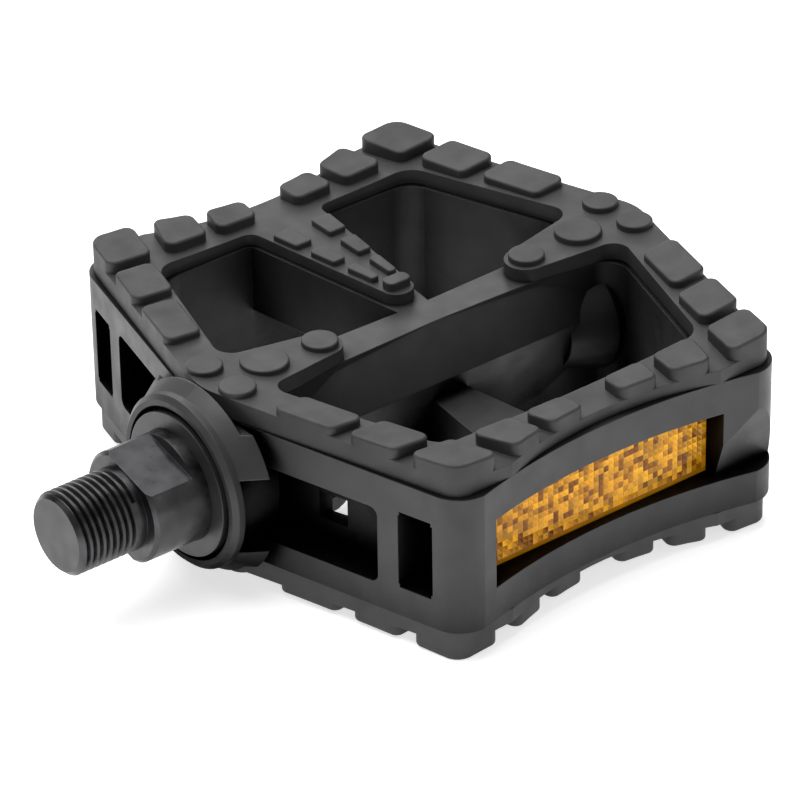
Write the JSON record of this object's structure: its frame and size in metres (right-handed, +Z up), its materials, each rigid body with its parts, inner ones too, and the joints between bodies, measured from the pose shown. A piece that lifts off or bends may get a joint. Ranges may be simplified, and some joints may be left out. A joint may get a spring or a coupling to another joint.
{
  "type": "flat bicycle pedal",
  "caption": "Flat moulded bicycle pedal with block tread on both faces, amber side reflectors and a threaded steel spindle running on loose balls.",
  "frame": {"origin": "centre of the spindle's shoulder, the face that seats on the crank", "axes": "+X along the spindle, outboard from the crank; +Z up, out of the top tread; +Y towards the edge that the top face's V bridge reaches"},
  "size_m": [0.1224, 0.1002, 0.0362],
  "materials": {
    "core_plastic": "satin black moulded plastic",
    "tread_rubber": "matt black thermoplastic rubber, fine texture",
    "amber_lens": "clear amber prismatic lens",
    "reflector_back": "amber moulded backing",
    "dark_steel": "black oxide steel",
    "washer_plastic": "black plastic",
    "bearing_steel": "hardened steel",
    "zinc_steel": "zinc plated steel"
  },
  "bodies": {
    "spindle": {"spindle": "dark_steel", "dust_washer": "washer_plastic", "outer_cone": "zinc_steel", "lock_washer": "zinc_steel", "locknut": "zinc_steel"},
    "platform": {"body_core": "core_plastic", "tread_top": "tread_rubber", "tread_bottom": "tread_rubber", "reflector_lens_front": "amber_lens", "reflector_lens_rear": "amber_lens", "reflector_back_front": "reflector_back", "reflector_back_rear": "reflector_back", "inner_bearing_cup": "bearing_steel", "outer_bearing_cup": "bearing_steel", "dust_cap": "core_plastic"},
    "inner_ball_row": {"inner_balls": "bearing_steel"},
    "outer_ball_row": {"outer_balls": "bearing_steel"}
  },
  "joints": [
    {"name": "platform_spin", "type": "hinge", "parent": "spindle", "child": "platform", "pos_m": [0.063, 0, 0], "axis": [1, 0, 0], "continuous": true},
    {"name": "inner_ball_orbit", "type": "hinge", "parent": "spindle", "child": "inner_ball_row", "pos_m": [0.0186, 0, 0], "axis": [1, 0, 0], "continuous": true},
    {"name": "outer_ball_orbit", "type": "hinge", "parent": "spindle", "child": "outer_ball_row", "pos_m": [0.1004, 0, 0], "axis": [1, 0, 0], "continuous": true}
  ],
  "couplings": [
    {"joint": "inner_ball_orbit", "follows": "platform_spin", "ratio": 0.5877},
    {"joint": "outer_ball_orbit", "follows": "platform_spin", "ratio": 0.585}
  ]
}
